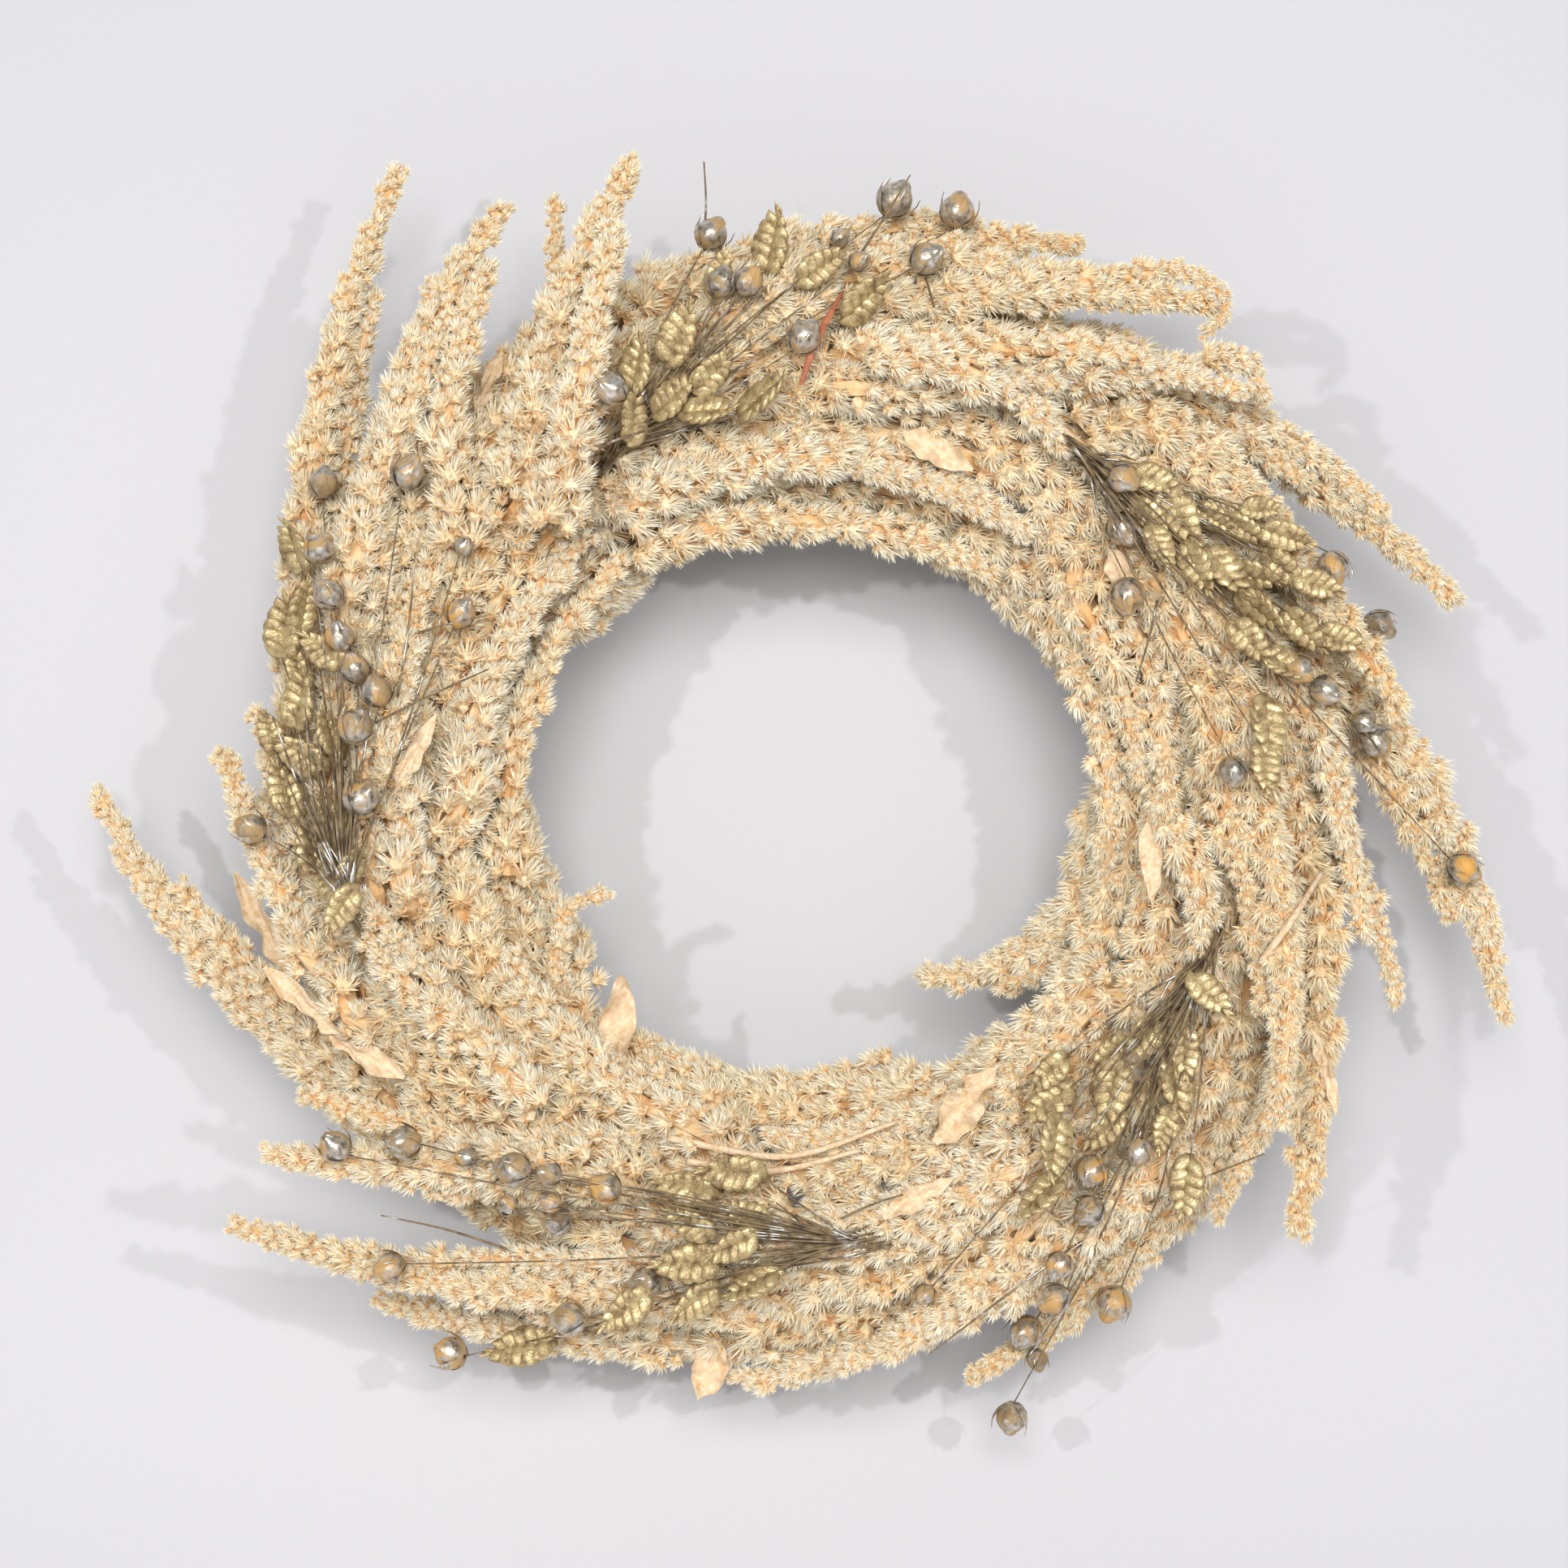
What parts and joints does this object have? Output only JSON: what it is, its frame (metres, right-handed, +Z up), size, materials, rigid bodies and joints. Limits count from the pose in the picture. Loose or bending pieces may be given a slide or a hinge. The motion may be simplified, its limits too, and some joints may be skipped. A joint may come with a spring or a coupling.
{
  "type": "harvest door wreath",
  "caption": "Round dried-flower door wreath: shaggy cream plumes laid clockwise on a wire frame, with gilded grass and silvered seed pods, and a fold-down hanging loop.",
  "frame": {"origin": "top of the outer back ring wire, where the wreath hangs", "axes": "+Z up the door, front of the wreath faces -Y, door side faces +Y, +X to the right as seen from the front"},
  "size_m": [0.3757, 0.0743, 0.3333],
  "materials": {
    "amaranth": "matte",
    "gilded_grass": "satin",
    "silvered_flax": "satin",
    "dried_leaf": "matte",
    "frame_wire": "satin",
    "binding_wire": "satin",
    "loop_wire": "satin"
  },
  "bodies": {
    "wreath": {"amaranth_inner_edge_02": "amaranth", "amaranth_inner_edge_08": "amaranth", "amaranth_inner_edge_14": "amaranth", "amaranth_inner_edge_20": "amaranth", "amaranth_inner_edge_26": "amaranth", "amaranth_inner_front_05": "amaranth", "amaranth_inner_front_11": "amaranth", "amaranth_inner_front_17": "amaranth", "amaranth_inner_front_23": "amaranth", "amaranth_inner_front_28": "amaranth", "amaranth_middle_01": "amaranth", "amaranth_middle_07": "amaranth", "amaranth_middle_13": "amaranth", "amaranth_middle_18": "amaranth", "amaranth_middle_22": "amaranth", "amaranth_middle_27": "amaranth", "amaranth_outer_edge_03": "amaranth", "amaranth_outer_edge_06": "amaranth", "amaranth_outer_edge_10": "amaranth", "amaranth_outer_edge_15": "amaranth", "amaranth_outer_edge_19": "amaranth", "amaranth_outer_edge_24": "amaranth", "amaranth_outer_edge_29": "amaranth", "amaranth_outer_front_04": "amaranth", "amaranth_outer_front_09": "amaranth", "amaranth_outer_front_12": "amaranth", "amaranth_outer_front_16": "amaranth", "amaranth_outer_front_21": "amaranth", "amaranth_outer_front_25": "amaranth", "amaranth_outer_front_30": "amaranth", "binding_wire": "binding_wire", "dried_leaf_1": "dried_leaf", "dried_leaf_2": "dried_leaf", "dried_leaf_3": "dried_leaf", "dried_leaf_4": "dried_leaf", "flax_spray_1": "silvered_flax", "flax_spray_2": "silvered_flax", "flax_spray_3": "silvered_flax", "flax_spray_4": "silvered_flax", "flax_spray_5": "silvered_flax", "frame_brace_1": "frame_wire", "frame_brace_10": "frame_wire", "frame_brace_2": "frame_wire", "frame_brace_3": "frame_wire", "frame_brace_4": "frame_wire", "frame_brace_5": "frame_wire", "frame_brace_6": "frame_wire", "frame_brace_7": "frame_wire", "frame_brace_8": "frame_wire", "frame_brace_9": "frame_wire", "frame_ring_inner_back": "frame_wire", "frame_ring_inner_front": "frame_wire", "frame_ring_outer_back": "frame_wire", "frame_ring_outer_front": "frame_wire", "quaking_grass_spray_1": "gilded_grass", "quaking_grass_spray_2": "gilded_grass", "quaking_grass_spray_3": "gilded_grass", "quaking_grass_spray_4": "gilded_grass", "quaking_grass_spray_5": "gilded_grass"},
    "hanging_loop": {"hanging_loop": "loop_wire"}
  },
  "joints": [
    {"name": "loop_fold", "type": "hinge", "parent": "wreath", "child": "hanging_loop", "pos_m": [0, 0, -0.00053], "axis": [1, 0, 0], "range_deg": [0, 160]}
  ]
}
